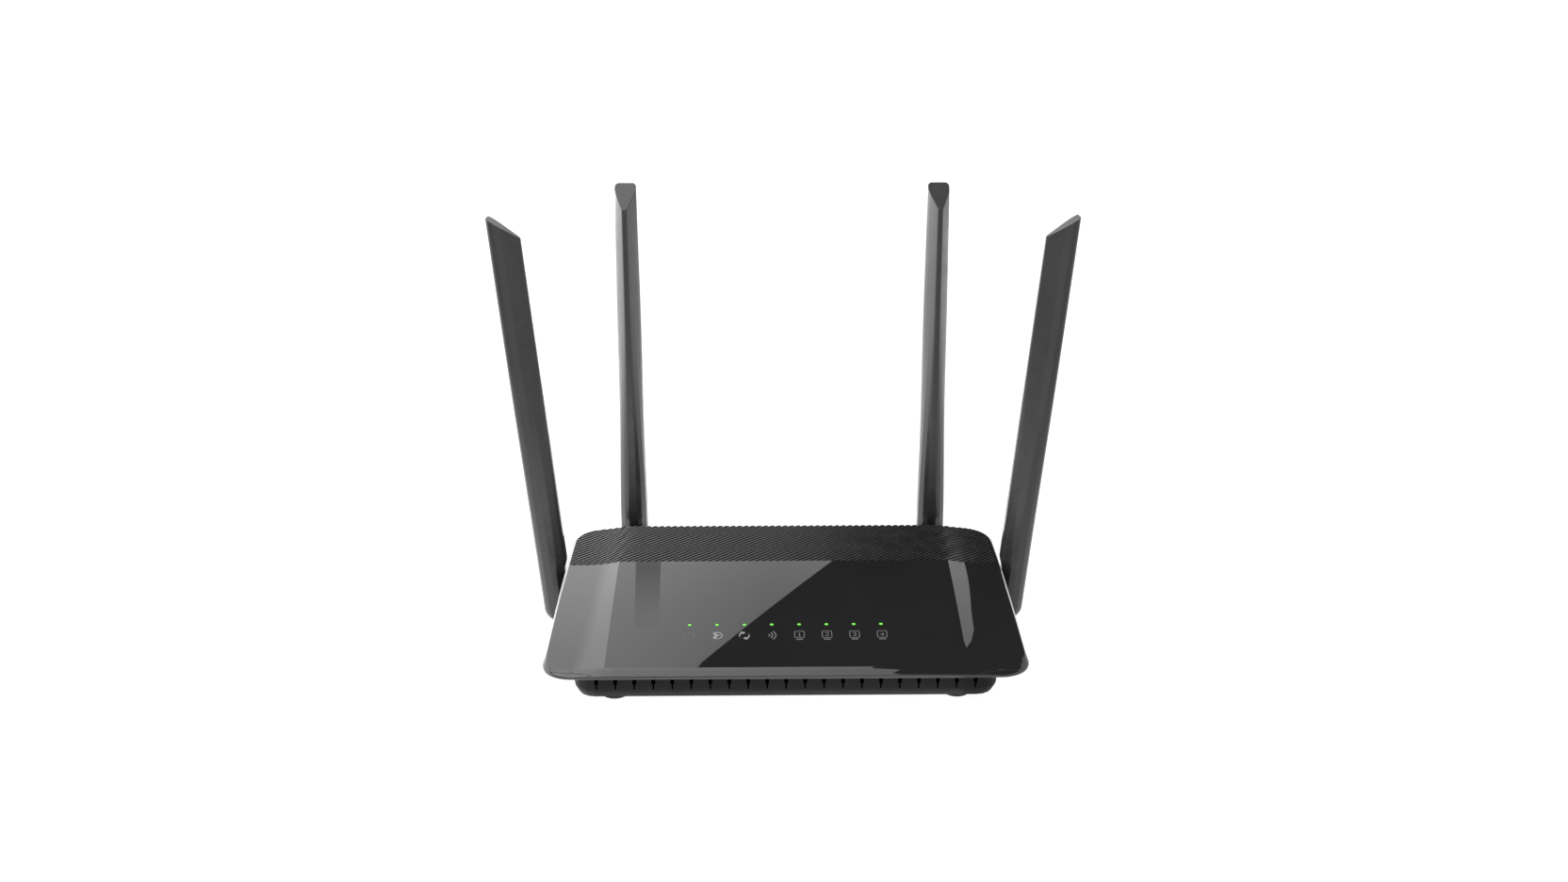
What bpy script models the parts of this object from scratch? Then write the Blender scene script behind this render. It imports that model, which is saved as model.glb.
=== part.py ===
"""Wireless router: a wedge-shaped case under an overhanging glossy cover, with four folding blade antennas.

Sizes are in millimetres and become metres where a mesh is made. X runs to the right, Y to the rear and
Z up. The pieces are drawn about the middle of the cover, and the whole object is then moved along Y so
that the origin lies under the middle of its bounding box, on the surface it stands on.
"""

import math

import bmesh
import bpy
from mathutils import Matrix, Vector

MM = 0.001
GAP = 0.3  # clearance between pieces that touch on the real object

# Cover: plan and heights
COVER_HALF = 96.0  # half width at the front corners
COVER_TAPER = 0.03  # half width lost for each millimetre towards the rear
COVER_DEPTH = 118.0
COVER_FRONT_RADIUS = 13.0
COVER_REAR_RADIUS = 13.0
COVER_WALL = 2.0
LIP_DROP = 1.4  # height of the vertical band under the outermost edge
FRONT_EDGE_Z = 16.4
PANEL_FRONT = -54.5
PANEL_FRONT_Z = 18.2
PANEL_SLOPE = 0.2165
PANEL_BEND = 0.000686
STEP_START = 71.0  # the deck steps down from a soft crease here and eases out by the second distance
STEP_END = 86.0
STEP_FRONT = 1.0
STEP_REAR = 1.6

# Ribbed insert in the rear third of the cover
INSERT_FRONT = 22.9
INSERT_MARGIN = 1.7
INSERT_THICK = 1.0

# Base
BASE_HALF = 84.6
BASE_FRONT = -48.6
BASE_REAR = 54.6
BASE_RADIUS = 9.0
BASE_BOTTOM = 1.5
BASE_WALL = 1.8
FLOOR_TOP = 3.5
VENTS = 21
VENT_PITCH = 7.5
VENT_WIDTH = 1.6  # of the notch under the cover; a narrow slit runs down from it
VENT_NOTCH = (7.9, 10.6)
SLIT_WIDTH = 0.7
SLIT_LOW = 5.6
FLOOR_VENT_ROWS = (-14.0, 2.0, 18.0)
FLOOR_VENTS = 9
FLOOR_VENT_PITCH = 9.0
FLOOR_VENT_WIDTH = 2.4
FLOOR_VENT_LENGTH = 10.0

# Rear panel and what shows in it
PANEL_HALF = 75.7
PANEL_LOW = 4.3
PANEL_HIGH = 24.2
PANEL_THICK = 3.6  # with its backing
JACK_PITCH = 16.2
JACK_WIDTH = 15.9
JACK_HEIGHT = 13.4
JACK_DEPTH = 21.0
LAN_FIRST = 41.5
WAN_X = -28.0
POWER_BUTTON = (-41.5, 13.2)  # X and Z
POWER_JACK = (-52.5, 13.0)
WPS_BUTTON = (55.5, 13.2)
RESET_HOLE = (-17.55, 13.5)
POWER_RADIUS = 3.4
WPS_RADIUS = 2.6
RESET_RADIUS = 0.9

# Board
BOARD_LOW = 5.4
BOARD_HIGH = 7.0
BOARD_HALF = 58.0
BOARD_FRONT = -38.0
BOARD_REAR = 50.5
LEDS = 8
LED_PITCH = 11.06
LED_Y = -26.85

# Fasteners and feet
FOOT_PLACES = [(x, y) for y in (-40.3, 44.0) for x in (-68.3, 68.3)]
FOOT_RADIUS = 5.6
FOOT_TOP = 2.0
SCREW_PLACES = [(x, y) for y in (-24.0, 30.0) for x in (-64.0, 64.0)]
BOARD_SCREWS = [(-50.0, -31.0), (50.0, -31.0)]

# Antennas
BLADE_HALF = 6.25  # half of the broad side
BLADE_ROOT = 6.2  # half thickness at the hinge
BLADE_TIP = 4.65
BLADE_HIGH = 172.0  # from the hinge pin to the high side of the slanted tip
BLADE_LOW = 162.2
BLADE_SETBACK = 1.2  # how far the edge next to the case is set back beside the hinge
FORK_ROOF = 7.6
TONGUE_HALF = 2.0
PIN_RADIUS = 1.2
REAR_X = 67.6
REAR_Y = 68.0
REAR_Z = 14.1
SIDE_X = 97.8
SIDE_Y = 24.0
SIDE_Z = 9.9
SIDE_LEAN = 5.34  # degrees outward at rest, where the blade stands beside the cover's edge
SHAFT_RADIUS = 3.2

BODY_SHIFT = (COVER_DEPTH / 2 - REAR_Y - BLADE_HALF) / 2

ARC = 4
COLUMNS = (-1, -0.93, -0.88, -0.82, -0.75, -0.45, -0.2, 0, 0.2, 0.45, 0.75, 0.82, 0.88, 0.93, 1)


# Scene, collections and materials


def clear_scene():
    for obj in list(bpy.data.objects):
        bpy.data.objects.remove(obj, do_unlink=True)
    for collection in list(bpy.data.collections):
        bpy.data.collections.remove(collection)


def new_collection(name):
    collection = bpy.data.collections.new(name)
    bpy.context.scene.collection.children.link(collection)
    return collection


def new_material(name, color, roughness, metallic=0.0):
    material = bpy.data.materials.new(name)
    material.use_nodes = True
    shader = material.node_tree.nodes["Principled BSDF"]
    shader.inputs["Base Color"].default_value = (*color, 1)
    shader.inputs["Roughness"].default_value = roughness
    shader.inputs["Metallic"].default_value = metallic
    material.diffuse_color = (*color, 1)
    return material


clear_scene()
ROUTER = new_collection("wireless_router")
CUTTERS = new_collection("cutters")
CUTTERS.hide_render = True

GLOSS_BLACK = new_material("gloss_black", (0.012, 0.012, 0.013), 0.06)
RIB_BLACK = new_material("rib_black", (0.045, 0.045, 0.047), 0.5)
CASE_BLACK = new_material("case_black", (0.022, 0.022, 0.023), 0.55)
ANTENNA_BLACK = new_material("antenna_black", (0.03, 0.03, 0.032), 0.48)
RUBBER = new_material("rubber", (0.018, 0.018, 0.018), 0.9)
LABEL = new_material("label", (0.75, 0.75, 0.73), 0.6)
CLEAR = new_material("light_guide", (0.25, 0.85, 0.2), 0.2)
BOARD_GREEN = new_material("board_green", (0.02, 0.16, 0.06), 0.4)
TIN = new_material("tin_plate", (0.62, 0.62, 0.6), 0.35, 1.0)
STEEL = new_material("steel", (0.5, 0.5, 0.5), 0.3, 1.0)
ALUMINIUM = new_material("aluminium", (0.6, 0.61, 0.62), 0.4, 1.0)
JACK_YELLOW = new_material("jack_yellow", (0.75, 0.5, 0.03), 0.5)
JACK_BLACK = new_material("jack_black", (0.03, 0.03, 0.03), 0.5)
PART_BLACK = new_material("part_black", (0.03, 0.03, 0.032), 0.5)
BUTTON_GREY = new_material("button_grey", (0.1, 0.1, 0.105), 0.45)
COPPER = new_material("copper", (0.75, 0.35, 0.15), 0.35, 1.0)
CABLE_GREY = new_material("cable_grey", (0.12, 0.12, 0.12), 0.5)


# Mesh helpers: every argument is in millimetres


def object_from(name, bm, material, collection=None):
    bmesh.ops.scale(bm, vec=(MM, MM, MM), verts=bm.verts)
    bmesh.ops.recalc_face_normals(bm, faces=bm.faces)
    mesh = bpy.data.meshes.new(name)
    bm.to_mesh(mesh)
    bm.free()
    if material:
        mesh.materials.append(material)
    mesh.shade_smooth()
    mesh.set_sharp_from_angle(angle=math.radians(32))
    obj = bpy.data.objects.new(name, mesh)
    (collection or ROUTER).objects.link(obj)
    return obj


def add_box(bm, low, high):
    low, high = Vector(low), Vector(high)
    matrix = Matrix.Translation((low + high) / 2) @ Matrix.Diagonal((*(high - low), 1))
    bmesh.ops.create_cube(bm, size=1, matrix=matrix)


def add_rod(bm, start, end, radius, sides=16, end_radius=None):
    """A cylinder or cone from start to end."""
    start, end = Vector(start), Vector(end)
    along = end - start
    turn = Vector((0, 0, 1)).rotation_difference(along).to_matrix().to_4x4()
    bmesh.ops.create_cone(
        bm,
        cap_ends=True,
        segments=sides,
        radius1=radius,
        radius2=radius if end_radius is None else end_radius,
        depth=along.length,
        matrix=Matrix.Translation((start + end) / 2) @ turn,
    )


def boxes(name, spans, material, collection=None):
    bm = bmesh.new()
    for low, high in spans:
        add_box(bm, low, high)
    return object_from(name, bm, material, collection)


def rods(name, spans, material, collection=None, sides=16):
    bm = bmesh.new()
    for start, end, radius in spans:
        add_rod(bm, start, end, radius, sides)
    return object_from(name, bm, material, collection)


def combine(obj, other, operation):
    """Joins or cuts obj with a helper object, which stays out of the render."""
    modifier = obj.modifiers.new(other.name, "BOOLEAN")
    modifier.object = other
    modifier.operation = operation
    modifier.solver = "EXACT"
    other.hide_render = True
    other.display_type = "WIRE"
    return obj


def join(obj, other):
    return combine(obj, other, "UNION")


def cut(obj, other):
    return combine(obj, other, "DIFFERENCE")


def soften(obj, width, segments=1):
    modifier = obj.modifiers.new("soft_edges", "BEVEL")
    modifier.width = width * MM
    modifier.segments = segments
    modifier.limit_method = "ANGLE"
    modifier.angle_limit = math.radians(50)
    return obj


def turned(name, profile, material, collection=None, steps=24):
    """A profile of (radius, height), listed from the top down, turned about Z."""
    bm = bmesh.new()
    points = [bm.verts.new((r, 0, z)) for r, z in profile]
    for first, second in zip(points, points[1:]):
        bm.edges.new((first, second))
    obj = object_from(name, bm, material, collection)
    screw = obj.modifiers.new("turn", "SCREW")
    screw.steps = screw.render_steps = steps
    screw.use_merge_vertices = True
    screw.merge_threshold = 0.00001
    return obj


def baked_mesh(obj):
    """The finished mesh of a helper object, which is then removed."""
    graph = bpy.context.evaluated_depsgraph_get()
    mesh = bpy.data.meshes.new_from_object(obj.evaluated_get(graph))
    bpy.data.objects.remove(obj, do_unlink=True)
    return mesh


def placed(name, mesh, parent=None, location=(0, 0, 0), collection=None):
    obj = bpy.data.objects.new(name, mesh)
    (collection or ROUTER).objects.link(obj)
    obj.parent = parent
    obj.location = Vector(location) * MM
    return obj


# The cover's heights


def smooth(t):
    t = min(max(t, 0.0), 1.0)
    return t * t * (3 - 2 * t)


def ridge_z(y):
    """Height of the deck along the middle."""
    t = y - PANEL_FRONT
    return PANEL_FRONT_Z + PANEL_SLOPE * t - PANEL_BEND * t * t


def deck_z(x, y):
    """Height of the cover's top surface, which steps down towards the sides."""
    step = STEP_FRONT + (STEP_REAR - STEP_FRONT) * smooth((y + 50) / 70)
    reach = min(max((abs(x) - STEP_START) / (STEP_END - STEP_START), 0), 1)
    return ridge_z(y) - step * (1 - (1 - reach) ** 2)


def edge_z(y):
    """Height of the cover's outermost edge: level across the front, then rising with the deck."""
    reach = min(max((y + 46) / 66, 0), 1)
    rising = ridge_z(max(y, -46)) - 4.4 + 1.6 * reach
    return FRONT_EDGE_Z + max(rising - FRONT_EDGE_Z, 0)


# Plans: rows of (y, half width), square to the middle line, with rounded corners


def plan_rows(half_at, front, rear, front_radius, rear_radius, middle=8):
    rows = []
    for k in range(ARC + 1 if front_radius else 1):
        a = math.pi / 2 * (k / ARC if front_radius else 1)
        y = front + front_radius * (1 - math.cos(a))
        rows.append((y, half_at(y) - front_radius * (1 - math.sin(a))))
    start, end = front + front_radius, rear - rear_radius
    for k in range(1, middle):
        y = start + (end - start) * k / middle
        rows.append((y, half_at(y)))
    for k in range(ARC, -1, -1):
        a = math.pi / 2 * k / ARC
        y = rear - rear_radius * (1 - math.cos(a))
        rows.append((y, half_at(y) - rear_radius * (1 - math.sin(a))))
    return rows


def cover_half(y):
    return COVER_HALF - COVER_TAPER * (y + COVER_DEPTH / 2 - COVER_FRONT_RADIUS)


def cover_rows(side, front, rear):
    """The cover's plan, drawn in from its outline by these amounts."""
    return plan_rows(
        lambda y: cover_half(y) - side,
        -COVER_DEPTH / 2 + front,
        COVER_DEPTH / 2 - rear,
        COVER_FRONT_RADIUS - side,
        COVER_REAR_RADIUS - side,
    )


def base_rows(inset):
    return plan_rows(
        lambda y: BASE_HALF - inset,
        BASE_FRONT + inset,
        BASE_REAR - inset,
        BASE_RADIUS - inset,
        BASE_RADIUS - inset,
    )


def grid_points(rows, height):
    return [[(s * half, y, height(s * half, y)) for s in COLUMNS] for y, half in rows]


def border(grid):
    """The points round the edge of a grid, in order."""
    right = [row[-1] for row in grid[1:-1]]
    left = [row[0] for row in grid[1:-1]]
    return list(grid[0]) + right + list(reversed(grid[-1])) + list(reversed(left))


def add_grid(bm, grid):
    verts = [[bm.verts.new(p) for p in row] for row in grid]
    for near, far in zip(verts, verts[1:]):
        for k in range(len(near) - 1):
            bm.faces.new((near[k], near[k + 1], far[k + 1], far[k]))
    return border(verts)


def add_ring(bm, points):
    return [bm.verts.new(p) for p in points]


def bridge(bm, first, second):
    count = len(first)
    for k in range(count):
        after = (k + 1) % count
        bm.faces.new((first[k], first[after], second[after], second[k]))


def slab(name, rows, top, bottom, material, collection=None):
    """A plate between two height functions."""
    bm = bmesh.new()
    upper = add_grid(bm, grid_points(rows, top))
    lower = add_grid(bm, grid_points(rows, bottom))
    bridge(bm, upper, lower)
    return object_from(name, bm, material, collection)


# Cover pieces


def cover_shell():
    """A shallow tray, open below: deck, rolled edge, bevel, vertical lip and the hollow inside."""

    def between(share):
        return lambda x, y: edge_z(y) + share * (deck_z(x, y) - edge_z(y))

    outer = [
        (cover_rows(1.2, 2.9, 1.5), between(0.86)),
        (cover_rows(0.7, 1.4, 0.9), between(0.55)),
        (cover_rows(0.0, 0.0, 0.0), lambda x, y: edge_z(y)),
        (cover_rows(0.1, 0.1, 0.1), lambda x, y: edge_z(y) - LIP_DROP),
        (cover_rows(COVER_WALL, COVER_WALL, COVER_WALL), lambda x, y: edge_z(y) - LIP_DROP),
        (cover_rows(COVER_WALL + 0.2, COVER_WALL + 0.6, COVER_WALL + 0.2), lambda x, y: edge_z(y) - 0.6),
    ]
    bm = bmesh.new()
    ring = add_grid(bm, grid_points(cover_rows(2.0, 4.5, 2.3), deck_z))
    for rows, height in outer:
        following = add_ring(bm, border(grid_points(rows, height)))
        bridge(bm, ring, following)
        ring = following
    inner = add_grid(
        bm, grid_points(cover_rows(3.4, 6.0, 3.6), lambda x, y: deck_z(x, y) - COVER_WALL)
    )
    bridge(bm, ring, inner)
    return object_from("top_cover", bm, GLOSS_BLACK)


def insert_rows(margin, front):
    side = INSERT_MARGIN + margin
    return plan_rows(
        lambda y: cover_half(y) - side,
        front,
        COVER_DEPTH / 2 - side,
        0,
        COVER_REAR_RADIUS - side,
        5,
    )


def led_x(number):
    return (number - (LEDS - 1) / 2) * LED_PITCH


def led_spans(margin, low, high):
    return [
        ((led_x(n) - 0.8 - margin, LED_Y - 0.5 - margin, low),
         (led_x(n) + 0.8 + margin, LED_Y + 0.5 + margin, high))
        for n in range(LEDS)
    ]


def make_cover():
    cover = cover_shell()
    bosses = rods(
        "cover_bosses",
        [((x, y, 12.3), (x, y, deck_z(x, y) - 1.2), 3.3) for x, y in SCREW_PLACES],
        None,
        CUTTERS,
    )
    join(cover, bosses)
    recess = slab(
        "insert_recess",
        insert_rows(-GAP, INSERT_FRONT - GAP),
        lambda x, y: deck_z(x, y) + 3,
        lambda x, y: deck_z(x, y) - INSERT_THICK - GAP,
        None,
        CUTTERS,
    )
    cut(cover, recess)
    holes = boxes("led_holes", led_spans(0.25, 15, 30), None, CUTTERS)
    cut(cover, holes)
    pilots = rods(
        "cover_pilots", [((x, y, 5), (x, y, 20.5), 1.5) for x, y in SCREW_PLACES], None, CUTTERS, 12
    )
    cut(cover, pilots)
    slab(
        "ribbed_insert",
        insert_rows(0, INSERT_FRONT),
        deck_z,
        lambda x, y: deck_z(x, y) - INSERT_THICK,
        RIB_BLACK,
    )


def make_light_guide():
    bar = boxes("light_guide", [((-42, LED_Y - 1.2, 13), (42, LED_Y + 1.2, 15))], CLEAR)
    posts = bmesh.new()
    for low, high in led_spans(0, 9.0, deck_z(0, LED_Y) - 0.15):
        add_box(posts, low, high)
    join(bar, object_from("guide_posts", posts, None, CUTTERS))


# Base pieces


def base_shell():
    """A tray, open above: floor, drawn-in foot, wall, and a shoulder that closes the cover's overhang."""
    rim = COVER_WALL + 0.6 + GAP
    rings = [
        border(grid_points(base_rows(2.5), lambda x, y: BASE_BOTTOM)),
        border(grid_points(base_rows(1.9), lambda x, y: BASE_BOTTOM + 0.3)),
        border(grid_points(base_rows(0.3), lambda x, y: BASE_BOTTOM + 3.2)),
        border(grid_points(base_rows(0.0), lambda x, y: BASE_BOTTOM + 4.4)),
        border(grid_points(base_rows(0.0), lambda x, y: edge_z(y) - 4.4)),
        border(grid_points(cover_rows(rim, rim, rim), lambda x, y: edge_z(y) - 2.6)),
        border(grid_points(cover_rows(rim, rim, rim), lambda x, y: edge_z(y) - 1.2)),
        border(grid_points(cover_rows(rim + 1.4, rim + 1.4, rim + 1.2), lambda x, y: edge_z(y) - 1.2)),
        border(grid_points(base_rows(BASE_WALL), lambda x, y: edge_z(y) - 2.8)),
        border(grid_points(base_rows(BASE_WALL), lambda x, y: FLOOR_TOP)),
    ]
    bm = bmesh.new()
    previous = add_ring(bm, rings[0])
    bm.faces.new(previous)
    for points in rings[1:]:
        following = add_ring(bm, points)
        bridge(bm, previous, following)
        previous = following
    bm.faces.new(previous)
    return object_from("bottom_case", bm, CASE_BLACK)


def front_vents(width, low, high):
    """A row of upright openings across the front wall."""
    front, back = BASE_FRONT - 1, BASE_FRONT + 4
    middles = [(k - (VENTS - 1) / 2) * VENT_PITCH for k in range(VENTS)]
    return [((x - width / 2, front, low), (x + width / 2, back, high)) for x in middles]


def floor_vents():
    half, length = FLOOR_VENT_WIDTH / 2, FLOOR_VENT_LENGTH / 2
    middles = [(k - (FLOOR_VENTS - 1) / 2) * FLOOR_VENT_PITCH for k in range(FLOOR_VENTS)]
    return [((x - half, y - length, 0), (x + half, y + length, FLOOR_TOP + 1))
            for y in FLOOR_VENT_ROWS for x in middles]


def make_base():
    base = base_shell()
    posts = rods(
        "base_posts",
        [((x, y, FLOOR_TOP - 0.5), (x, y, 12.0), 3.9) for x, y in SCREW_PLACES]
        + [((x, y, FLOOR_TOP - 0.5), (x, y, BOARD_LOW - GAP), 2.6) for x, y in BOARD_SCREWS]
        + [((x, 24.0, FLOOR_TOP - 0.5), (x, 24.0, BOARD_LOW - GAP), 2.6) for x in (-50.0, 50.0)],
        None,
        CUTTERS,
    )
    join(base, posts)
    cut(base, boxes("vent_notches", front_vents(VENT_WIDTH, *VENT_NOTCH), None, CUTTERS))
    cut(base, boxes("vent_slits", front_vents(SLIT_WIDTH, SLIT_LOW, VENT_NOTCH[0] + GAP), None, CUTTERS))
    cut(base, boxes("floor_vents", floor_vents(), None, CUTTERS))
    window = boxes(
        "rear_window",
        [((-PANEL_HALF - GAP, BASE_REAR - BASE_WALL - 1, PANEL_LOW - GAP),
          (PANEL_HALF + GAP, BASE_REAR + 1, PANEL_HIGH + GAP))],
        None,
        CUTTERS,
    )
    cut(base, window)
    holes = [((x, y, 0), (x, y, 15), 1.6) for x, y in SCREW_PLACES]
    holes += [((x, y, 2.8), (x, y, 9), 1.1) for x, y in BOARD_SCREWS]
    holes += [((side * (BASE_HALF - 5), SIDE_Y, SIDE_Z), (side * (BASE_HALF + 2), SIDE_Y, SIDE_Z),
               SHAFT_RADIUS + GAP) for side in (-1, 1)]
    cut(base, rods("base_holes", holes, None, CUTTERS))
    sinks = [((x, y, 0), (x, y, 4.0), 3.2) for x, y in SCREW_PLACES]
    sinks += [((x, y, 0), (x, y, FOOT_TOP + GAP), FOOT_RADIUS + GAP) for x, y in FOOT_PLACES]
    sinks_cutter = rods("base_sinks", sinks, None, CUTTERS, 20)
    cut(base, sinks_cutter)


def make_feet():
    profile = [(0, FOOT_TOP), (FOOT_RADIUS, FOOT_TOP), (FOOT_RADIUS, 0.5), (FOOT_RADIUS - 0.5, 0), (0, 0)]
    mesh = baked_mesh(turned("foot", profile, RUBBER, steps=20))
    for number, (x, y) in enumerate(FOOT_PLACES, 1):
        placed(f"foot_{number}", mesh, location=(x, y, 0))


def screw_mesh(name, head_radius, head_height, radius, length):
    """A pan head with a cross recess, its top at z 0, and a shank below it."""
    profile = [
        (0, head_height),
        (head_radius * 0.75, head_height),
        (head_radius, head_height * 0.4),
        (head_radius, 0),
        (radius, 0),
        (radius, -length + 0.8),
        (radius * 0.4, -length),
        (0, -length),
    ]
    screw = turned(name, profile, STEEL, steps=12)
    arm = head_radius * 0.6
    cross = boxes(
        name + "_cross",
        [((-arm, -0.3, head_height * 0.45), (arm, 0.3, head_height + 1))],
        None,
        CUTTERS,
    )
    cut(screw, cross)
    mesh = baked_mesh(screw)
    bpy.data.objects.remove(cross, do_unlink=True)
    return mesh


def make_screws():
    mesh = screw_mesh("case_screw", 2.8, 1.6, 1.25, 16.0)
    for number, (x, y) in enumerate(SCREW_PLACES, 1):
        screw = placed(f"case_screw_{number}", mesh, location=(x, y, 3.7))
        screw.rotation_euler = (math.pi, 0, 0)
    mesh = screw_mesh("board_screw", 1.9, 1.1, 0.8, 4.0 - GAP)
    for number, (x, y) in enumerate(BOARD_SCREWS, 1):
        placed(f"board_screw_{number}", mesh, location=(x, y, BOARD_HIGH + GAP / 2))


def make_label():
    bm = bmesh.new()
    add_box(bm, (-26, 29.5, BASE_BOTTOM - GAP - 0.35), (26, 48, BASE_BOTTOM - GAP))
    object_from("bottom_label", bm, LABEL)


def make_rear_panel():
    panel = boxes(
        "rear_panel",
        [((-PANEL_HALF, BASE_REAR - 2.6, PANEL_LOW), (PANEL_HALF, BASE_REAR, PANEL_HIGH))],
        CASE_BLACK,
    )
    backing = boxes(
        "panel_backing",
        [((-PANEL_HALF + 2, BASE_REAR - PANEL_THICK, 4.0), (PANEL_HALF - 2, BASE_REAR - BASE_WALL - GAP, PANEL_HIGH))],
        None,
        CUTTERS,
    )
    join(panel, backing)
    ports_low, ports_high = BOARD_HIGH, BOARD_HIGH + GAP + JACK_HEIGHT + GAP
    spans = [
        ((LAN_FIRST - 3 * JACK_PITCH - JACK_WIDTH / 2 - GAP, 45, ports_low),
         (LAN_FIRST + JACK_WIDTH / 2 + GAP, 60, ports_high)),
        ((WAN_X - JACK_WIDTH / 2 - GAP, 45, ports_low), (WAN_X + JACK_WIDTH / 2 + GAP, 60, ports_high)),
    ]
    cut(panel, boxes("port_windows", spans, None, CUTTERS))
    round_holes = [
        (POWER_BUTTON, POWER_RADIUS + GAP),
        (POWER_JACK, 4.0 + GAP),
        (WPS_BUTTON, WPS_RADIUS + GAP),
        (RESET_HOLE, RESET_RADIUS + GAP),
        ((-REAR_X, REAR_Z), SHAFT_RADIUS + GAP),
        ((REAR_X, REAR_Z), SHAFT_RADIUS + GAP),
    ]
    rod_spans = [((x, 45, z), (x, 60, z), radius) for (x, z), radius in round_holes]
    cut(panel, rods("panel_holes", rod_spans, None, CUTTERS, 20))


# Board and what stands on it


def make_board():
    board = boxes(
        "main_board", [((-BOARD_HALF, BOARD_FRONT, BOARD_LOW), (BOARD_HALF, BOARD_REAR, BOARD_HIGH))], BOARD_GREEN
    )
    chips = [((led_x(n) - 0.9, LED_Y - 0.6, BOARD_HIGH - 0.5), (led_x(n) + 0.9, LED_Y + 0.6, 8.2))
             for n in range(LEDS)]
    chips += [((-4, -2, 6.5), (6, 7, 8.0)), ((-24, -8, 6.5), (-15, 3, 8.0)), ((30, 6, 6.5), (40, 12, 8.2))]
    join(board, boxes("board_chips", chips, None, CUTTERS))
    cut(board, rods("board_holes", [((x, y, 0), (x, y, 10), 1.3) for x, y in BOARD_SCREWS], None, CUTTERS, 12))


def jack_mesh(name, material):
    """A network jack with its stepped opening, drawn with the middle of its mouth at the origin."""
    half = JACK_WIDTH / 2
    body = boxes(name, [((-half, -JACK_DEPTH, -JACK_HEIGHT / 2), (half, 0, JACK_HEIGHT / 2))], material)
    mouth = boxes(name + "_mouth", [((-5.9, -14, -3.6), (5.9, 1, 3.6))], None, CUTTERS)
    latch = boxes(name + "_latch", [((-3.2, -12, 3.2), (3.2, 1, 5.2))], None, CUTTERS)
    join(mouth, latch)
    cut(body, mouth)
    mesh = baked_mesh(body)
    for helper in (mouth, latch):
        bpy.data.objects.remove(helper, do_unlink=True)
    return mesh


def make_jacks():
    mouth_y = BASE_REAR + 0.4
    mouth_z = BOARD_HIGH + GAP + JACK_HEIGHT / 2
    placed("wan_jack", jack_mesh("wan_jack", JACK_YELLOW), location=(WAN_X, mouth_y, mouth_z))
    mesh = jack_mesh("lan_jack", JACK_BLACK)
    for number in range(1, 5):
        x = LAN_FIRST - (number - 1) * JACK_PITCH
        placed(f"lan_jack_{number}", mesh, location=(x, mouth_y, mouth_z))


def make_power_jack():
    x, z = POWER_JACK
    back = BASE_REAR - PANEL_THICK - GAP
    body = boxes("power_jack", [((x - 4.4, back - 9.5, BOARD_HIGH + GAP), (x + 4.4, back, z + 5.2))], PART_BLACK)
    join(body, rods("power_jack_collar", [((x, back - 1, z), (x, BASE_REAR, z), 4.0)], None, CUTTERS, 20))
    cut(body, rods("power_jack_bore", [((x, back - 7, z), (x, BASE_REAR + 1, z), 2.9)], None, CUTTERS, 20))
    join(body, rods("power_jack_pin", [((x, back - 8, z), (x, BASE_REAR - 2.5, z), 0.9)], None, CUTTERS, 10))


def make_button(name, place, radius, proud, travel, reach):
    """A round cap on a stem, and behind it the switch body that the stem presses."""
    x, z = place
    switch_face = BASE_REAR - PANEL_THICK - reach
    stem_end = -PANEL_THICK - reach + travel + GAP
    cap = turned(
        name + "_cap",
        [(0, proud), (radius - 0.5, proud), (radius, proud - 0.5), (radius, -3.9), (radius + 0.7, -3.9),
         (radius + 0.7, -4.4), (1.0, -4.4), (1.0, stem_end), (0, stem_end)],
        BUTTON_GREY,
        steps=20,
    )
    cap.rotation_euler = (-math.pi / 2, 0, 0)
    button = placed(name + "_button", baked_mesh(cap))
    button.rotation_euler = (-math.pi / 2, 0, 0)
    button.location = Vector((x, BASE_REAR, z)) * MM
    boxes(name + "_switch", [((x - 3.4, switch_face - 6, BOARD_HIGH + GAP), (x + 3.4, switch_face, z + 3.0))],
          PART_BLACK)


def make_reset():
    x, z = RESET_HOLE
    plunger = turned(
        "reset_shape", [(0, 0), (RESET_RADIUS, 0), (RESET_RADIUS, -3.2), (0, -3.2)], BUTTON_GREY, steps=12
    )
    button = placed("reset_plunger", baked_mesh(plunger))
    button.rotation_euler = (-math.pi / 2, 0, 0)
    button.location = Vector((x, BASE_REAR - 1.2, z)) * MM
    boxes("reset_switch", [((x - 1.5, 45.5, BOARD_HIGH + GAP), (x + 1.5, 49.4, z + 1.4))], PART_BLACK)


def make_board_parts():
    top = BOARD_HIGH + GAP
    sink = boxes("heat_sink", [((-12, 10, top), (14, 30, top + 2.0))], ALUMINIUM)
    fins = [((-12 + k * 3.7, 10, top + 1), (-10.9 + k * 3.7, 30, top + 9)) for k in range(8)]
    join(sink, boxes("heat_sink_fins", fins, None, CUTTERS))
    boxes("radio_shield_left", [((-46, -14, top), (-26, 10, top + 3))], TIN)
    boxes("radio_shield_right", [((22, -20, top), (46, 2, top + 3))], TIN)
    boxes("lan_transformer", [((4, 33.0 - 2.6, top + 0.1), (32, 33.0, top + 5))], PART_BLACK)
    boxes("wan_transformer", [((-34, 22, top), (-19, 32, top + 5))], PART_BLACK)
    rods("capacitor", [((-50, 12, top), (-50, 12, top + 9), 4.0)], ALUMINIUM, sides=20)
    for name in ("heat_sink", "radio_shield_left", "radio_shield_right"):
        soften(bpy.data.objects[name], 0.3)


# Antennas: drawn with the hinge pin along X through the origin, the blade up Z and +Y away from the case

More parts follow.
